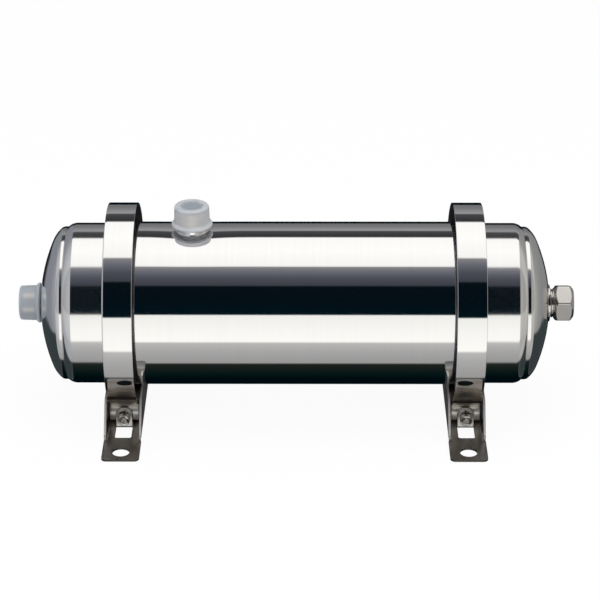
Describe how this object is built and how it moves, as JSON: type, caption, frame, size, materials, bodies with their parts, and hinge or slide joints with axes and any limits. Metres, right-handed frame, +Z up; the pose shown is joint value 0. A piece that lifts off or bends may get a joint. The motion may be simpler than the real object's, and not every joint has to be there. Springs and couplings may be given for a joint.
{
  "type": "whole house water filter",
  "caption": "Whole house water filter: polished stainless housing in hoops that screws draw together on folded brackets, with capped pipe ports, a hexagon drain plug and a membrane module.",
  "frame": {"origin": "centre of the four foot holes, on the plane that the brackets stand on", "axes": "+X along the housing towards the drain plug, +Y away from the side with the screw heads, +Z up"},
  "size_m": [0.3885, 0.169, 0.1549],
  "materials": {
    "polished_stainless": "mirror polished stainless steel",
    "satin_stainless": "satin stainless steel",
    "milky_polyethylene": "milky soft polyethylene",
    "white_plastic": "white moulded plastic",
    "fibre_bundle": "white hollow fibres",
    "potting_resin": "cast amber resin",
    "black_rubber": "black rubber"
  },
  "bodies": {
    "housing": {"housing_tube": "polished_stainless", "left_end_cap": "polished_stainless", "right_end_cap": "polished_stainless", "inlet_neck": "satin_stainless", "outlet_neck": "satin_stainless", "drain_boss": "satin_stainless", "membrane_sleeve": "white_plastic", "membrane_fibres": "fibre_bundle", "left_potting_block": "potting_resin", "right_potting_block": "potting_resin", "left_seal_collar": "white_plastic", "right_seal_collar": "white_plastic", "left_module_o_ring": "black_rubber", "right_module_o_ring": "black_rubber", "left_hoop": "polished_stainless", "right_hoop": "polished_stainless", "left_bracket": "satin_stainless", "right_bracket": "satin_stainless", "left_front_trunnion": "satin_stainless", "left_rear_trunnion": "satin_stainless", "right_front_trunnion": "satin_stainless", "right_rear_trunnion": "satin_stainless"},
    "inlet_cap": {"inlet_dust_cap": "milky_polyethylene"},
    "outlet_cap": {"outlet_dust_cap": "milky_polyethylene"},
    "plug_seal": {"drain_plug_o_ring": "black_rubber"},
    "plug": {"drain_plug": "satin_stainless"},
    "left_screw": {"left_clamp_screw": "satin_stainless"},
    "right_screw": {"right_clamp_screw": "satin_stainless"}
  },
  "joints": [
    {"name": "inlet_cap_pull", "type": "slide", "parent": "housing", "child": "inlet_cap", "axis": [-1, 0, 0], "range_m": [0, 0.015]},
    {"name": "outlet_cap_pull", "type": "slide", "parent": "housing", "child": "outlet_cap", "axis": [0, 0, 1], "range_m": [0, 0.015]},
    {"name": "plug_advance", "type": "slide", "parent": "housing", "child": "plug_seal", "axis": [1, 0, 0], "range_m": [-0.00227, 0.00726]},
    {"name": "plug_turn", "type": "hinge", "parent": "plug_seal", "child": "plug", "pos_m": [0.188, 0, 0.08], "axis": [1, 0, 0], "range_deg": [-452, 1442]},
    {"name": "left_screw_turn", "type": "hinge", "parent": "housing", "child": "left_screw", "pos_m": [-0.12, 0, 0.0088], "axis": [0, -1, 0], "continuous": true},
    {"name": "right_screw_turn", "type": "hinge", "parent": "housing", "child": "right_screw", "pos_m": [0.12, 0, 0.0088], "axis": [0, -1, 0], "continuous": true}
  ],
  "couplings": [
    {"joint": "plug_turn", "follows": "plug_advance", "rad_per_m": 3463.7}
  ]
}
